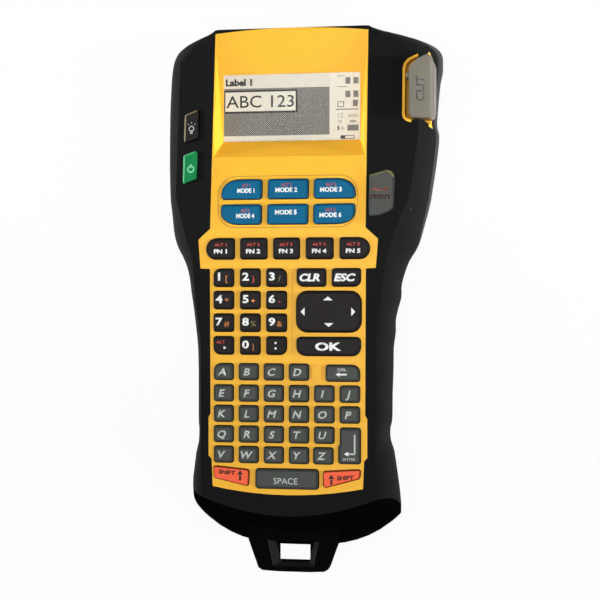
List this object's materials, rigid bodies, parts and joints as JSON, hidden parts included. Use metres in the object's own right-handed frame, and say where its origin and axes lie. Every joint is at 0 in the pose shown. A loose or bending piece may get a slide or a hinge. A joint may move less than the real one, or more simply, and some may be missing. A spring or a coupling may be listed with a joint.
{
  "type": "label maker",
  "caption": "Hand-held industrial label maker with a full keypad, recessed display, rubber frame, strap loop, cutter lever and rear cassette and battery bays.",
  "frame": {"origin": "centre of the bounding box at the table, with the label maker lying on its back", "axes": "+Y towards the head, +X to the right of the keypad, +Z out of the keypad"},
  "size_m": [0.1384, 0.2658, 0.0578],
  "materials": {
    "shell_yellow": "satin moulded",
    "rubber_black": "soft-touch, fine grain",
    "plastic_black": "fine grain",
    "lens_clear": "clear",
    "lcd_cream": "satin",
    "board_green": "satin",
    "mat_grey": "matt",
    "steel": "satin",
    "contact_plate": "satin",
    "cassette_plastic": "fine grain",
    "label_tape": "satin",
    "head_aluminium": "satin",
    "roller_rubber": "ground",
    "gear_plastic": "satin",
    "gear_brass": "turned",
    "lever_grey": "satin",
    "cell_wrap": "gloss",
    "key_green": "satin",
    "key_black": "satin",
    "key_grey": "satin",
    "key_blue": "satin",
    "key_orange": "satin"
  },
  "bodies": {
    "case": {"front_case": "shell_yellow", "back_case": "plastic_black", "left_shoulder": "rubber_black", "right_shoulder": "rubber_black", "left_grip": "rubber_black", "right_grip": "rubber_black", "end_bumper": "rubber_black", "lever_bezel": "shell_yellow", "display_lens": "lens_clear", "lcd_module": "lcd_cream", "key_board": "board_green", "keypad_mat": "mat_grey", "door_hinge_pin": "steel", "tape_cassette": "cassette_plastic", "print_head": "head_aluminium", "drive_motor": "steel", "lever_pivot_pin": "steel", "lever_spring": "steel", "batteries": "cell_wrap", "battery_contacts": "contact_plate", "case_screws": "steel", "power_jack": "plastic_black", "rubber_feet": "rubber_black"},
    "power_key": {"power_key": "key_green"},
    "backlight_key": {"backlight_key": "key_black"},
    "print_key": {"print_key": "key_grey"},
    "hot_key_1": {"hot_key_1": "key_blue"},
    "hot_key_2": {"hot_key_2": "key_blue"},
    "hot_key_3": {"hot_key_3": "key_blue"},
    "hot_key_4": {"hot_key_4": "key_blue"},
    "hot_key_5": {"hot_key_5": "key_blue"},
    "hot_key_6": {"hot_key_6": "key_blue"},
    "function_keys": {"function_keys": "key_black"},
    "number_keys_left": {"number_keys_left": "key_black"},
    "number_keys_middle": {"number_keys_middle": "key_black"},
    "number_keys_right": {"number_keys_right": "key_black"},
    "clear_key": {"clear_key": "key_black"},
    "escape_key": {"escape_key": "key_black"},
    "ok_key": {"ok_key": "key_black"},
    "letter_keys_row_1": {"letter_keys_row_1": "key_grey"},
    "letter_keys_row_2": {"letter_keys_row_2": "key_grey"},
    "letter_keys_row_3": {"letter_keys_row_3": "key_grey"},
    "letter_keys_row_4": {"letter_keys_row_4": "key_grey"},
    "letter_keys_row_5": {"letter_keys_row_5": "key_grey"},
    "backspace_key": {"backspace_key": "key_grey"},
    "enter_key": {"enter_key": "key_grey"},
    "space_key": {"space_key": "key_grey"},
    "shift_key_left": {"shift_key_left": "key_orange"},
    "shift_key_right": {"shift_key_right": "key_orange"},
    "navigation_pivot": {"navigation_pivot": "steel"},
    "navigation_pad": {"navigation_pad": "key_black"},
    "cut_lever": {"cut_lever": "lever_grey"},
    "cutter_blade": {"cutter_blade": "steel"},
    "cassette_door": {"cassette_door": "plastic_black"},
    "battery_cover": {"battery_cover": "plastic_black"},
    "platen": {"platen_roller": "roller_rubber", "platen_gear": "gear_plastic"},
    "motor_gear": {"motor_gear": "gear_brass"},
    "idler_gear": {"idler_gear": "gear_plastic"},
    "tape_spool": {"tape_spool": "label_tape"}
  },
  "joints": [
    {"name": "power_key_press", "type": "slide", "parent": "case", "child": "power_key", "axis": [0, 0, -1], "range_m": [0, 0.001], "stiffness_N_per_m": 800, "springref_m": -0.0003},
    {"name": "backlight_key_press", "type": "slide", "parent": "case", "child": "backlight_key", "axis": [0, 0, -1], "range_m": [0, 0.001], "stiffness_N_per_m": 800, "springref_m": -0.0003},
    {"name": "print_key_press", "type": "slide", "parent": "case", "child": "print_key", "axis": [0, 0, -1], "range_m": [0, 0.001], "stiffness_N_per_m": 800, "springref_m": -0.0003},
    {"name": "hot_key_1_press", "type": "slide", "parent": "case", "child": "hot_key_1", "axis": [0, 0, -1], "range_m": [0, 0.001], "stiffness_N_per_m": 800, "springref_m": -0.0003},
    {"name": "hot_key_2_press", "type": "slide", "parent": "case", "child": "hot_key_2", "axis": [0, 0, -1], "range_m": [0, 0.001], "stiffness_N_per_m": 800, "springref_m": -0.0003},
    {"name": "hot_key_3_press", "type": "slide", "parent": "case", "child": "hot_key_3", "axis": [0, 0, -1], "range_m": [0, 0.001], "stiffness_N_per_m": 800, "springref_m": -0.0003},
    {"name": "hot_key_4_press", "type": "slide", "parent": "case", "child": "hot_key_4", "axis": [0, 0, -1], "range_m": [0, 0.001], "stiffness_N_per_m": 800, "springref_m": -0.0003},
    {"name": "hot_key_5_press", "type": "slide", "parent": "case", "child": "hot_key_5", "axis": [0, 0, -1], "range_m": [0, 0.001], "stiffness_N_per_m": 800, "springref_m": -0.0003},
    {"name": "hot_key_6_press", "type": "slide", "parent": "case", "child": "hot_key_6", "axis": [0, 0, -1], "range_m": [0, 0.001], "stiffness_N_per_m": 800, "springref_m": -0.0003},
    {"name": "function_keys_press", "type": "slide", "parent": "case", "child": "function_keys", "axis": [0, 0, -1], "range_m": [0, 0.001], "stiffness_N_per_m": 2400, "springref_m": -0.0003},
    {"name": "number_keys_left_press", "type": "slide", "parent": "case", "child": "number_keys_left", "axis": [0, 0, -1], "range_m": [0, 0.001], "stiffness_N_per_m": 2400, "springref_m": -0.0003},
    {"name": "number_keys_middle_press", "type": "slide", "parent": "case", "child": "number_keys_middle", "axis": [0, 0, -1], "range_m": [0, 0.001], "stiffness_N_per_m": 2400, "springref_m": -0.0003},
    {"name": "number_keys_right_press", "type": "slide", "parent": "case", "child": "number_keys_right", "axis": [0, 0, -1], "range_m": [0, 0.001], "stiffness_N_per_m": 2400, "springref_m": -0.0003},
    {"name": "clear_key_press", "type": "slide", "parent": "case", "child": "clear_key", "axis": [0, 0, -1], "range_m": [0, 0.001], "stiffness_N_per_m": 800, "springref_m": -0.0003},
    {"name": "escape_key_press", "type": "slide", "parent": "case", "child": "escape_key", "axis": [0, 0, -1], "range_m": [0, 0.001], "stiffness_N_per_m": 800, "springref_m": -0.0003},
    {"name": "ok_key_press", "type": "slide", "parent": "case", "child": "ok_key", "axis": [0, 0, -1], "range_m": [0, 0.001], "stiffness_N_per_m": 800, "springref_m": -0.0003},
    {"name": "letter_keys_row_1_press", "type": "slide", "parent": "case", "child": "letter_keys_row_1", "axis": [0, 0, -1], "range_m": [0, 0.001], "stiffness_N_per_m": 2400, "springref_m": -0.0003},
    {"name": "letter_keys_row_2_press", "type": "slide", "parent": "case", "child": "letter_keys_row_2", "axis": [0, 0, -1], "range_m": [0, 0.001], "stiffness_N_per_m": 2400, "springref_m": -0.0003},
    {"name": "letter_keys_row_3_press", "type": "slide", "parent": "case", "child": "letter_keys_row_3", "axis": [0, 0, -1], "range_m": [0, 0.001], "stiffness_N_per_m": 2400, "springref_m": -0.0003},
    {"name": "letter_keys_row_4_press", "type": "slide", "parent": "case", "child": "letter_keys_row_4", "axis": [0, 0, -1], "range_m": [0, 0.001], "stiffness_N_per_m": 2400, "springref_m": -0.0003},
    {"name": "letter_keys_row_5_press", "type": "slide", "parent": "case", "child": "letter_keys_row_5", "axis": [0, 0, -1], "range_m": [0, 0.001], "stiffness_N_per_m": 2400, "springref_m": -0.0003},
    {"name": "backspace_key_press", "type": "slide", "parent": "case", "child": "backspace_key", "axis": [0, 0, -1], "range_m": [0, 0.001], "stiffness_N_per_m": 800, "springref_m": -0.0003},
    {"name": "enter_key_press", "type": "slide", "parent": "case", "child": "enter_key", "axis": [0, 0, -1], "range_m": [0, 0.001], "stiffness_N_per_m": 800, "springref_m": -0.0003},
    {"name": "space_key_press", "type": "slide", "parent": "case", "child": "space_key", "axis": [0, 0, -1], "range_m": [0, 0.001], "stiffness_N_per_m": 800, "springref_m": -0.0003},
    {"name": "shift_key_left_press", "type": "slide", "parent": "case", "child": "shift_key_left", "axis": [0, 0, -1], "range_m": [0, 0.001], "stiffness_N_per_m": 800, "springref_m": -0.0003},
    {"name": "shift_key_right_press", "type": "slide", "parent": "case", "child": "shift_key_right", "axis": [0, 0, -1], "range_m": [0, 0.001], "stiffness_N_per_m": 800, "springref_m": -0.0003},
    {"name": "navigation_tilt_up_down", "type": "hinge", "parent": "case", "child": "navigation_pivot", "pos_m": [0.01695, -0.00515, 0.0504], "axis": [1, 0, 0], "range_deg": [-2.5, 2.5], "stiffness_Nm_per_rad": 0.4},
    {"name": "navigation_tilt_left_right", "type": "hinge", "parent": "navigation_pivot", "child": "navigation_pad", "pos_m": [0.01695, -0.00515, 0.0504], "axis": [0, 1, 0], "range_deg": [-2.5, 2.5], "stiffness_Nm_per_rad": 0.4},
    {"name": "cut_lever_squeeze", "type": "hinge", "parent": "case", "child": "cut_lever", "pos_m": [0.0594, 0.0904, 0.04], "axis": [0, 0, 1], "range_deg": [0, 5], "stiffness_Nm_per_rad": 1.5, "springref_deg": -2.29, "deforming": ["lever_spring"]},
    {"name": "cutter_slide", "type": "slide", "parent": "case", "child": "cutter_blade", "axis": [-1, 0, 0], "range_m": [0, 0.004]},
    {"name": "cassette_door_swing", "type": "hinge", "parent": "case", "child": "cassette_door", "pos_m": [-0.0081, 0.0414, 0.0026], "axis": [-1, 0, 0], "range_deg": [0, 100]},
    {"name": "battery_cover_lift", "type": "slide", "parent": "case", "child": "battery_cover", "axis": [0, 0, -1], "range_m": [0, 0.012]},
    {"name": "platen_spin", "type": "hinge", "parent": "case", "child": "platen", "pos_m": [0.0409, 0.1004, 0.018], "axis": [0, 0, 1], "continuous": true},
    {"name": "motor_gear_spin", "type": "hinge", "parent": "case", "child": "motor_gear", "pos_m": [0.0469, 0.07223, 0.031], "axis": [0, 0, 1], "continuous": true},
    {"name": "idler_gear_spin", "type": "hinge", "parent": "case", "child": "idler_gear", "pos_m": [0.04407, 0.08553, 0.031], "axis": [0, 0, 1], "continuous": true},
    {"name": "tape_spool_spin", "type": "hinge", "parent": "case", "child": "tape_spool", "pos_m": [-0.0171, 0.0804, 0.016], "axis": [0, 0, 1], "continuous": true}
  ],
  "couplings": [
    {"joint": "cutter_slide", "follows": "cut_lever_squeeze", "m_per_rad": 0.0458},
    {"joint": "motor_gear_spin", "follows": "platen_spin", "ratio": 1.3333},
    {"joint": "idler_gear_spin", "follows": "platen_spin", "ratio": -0.72727}
  ]
}
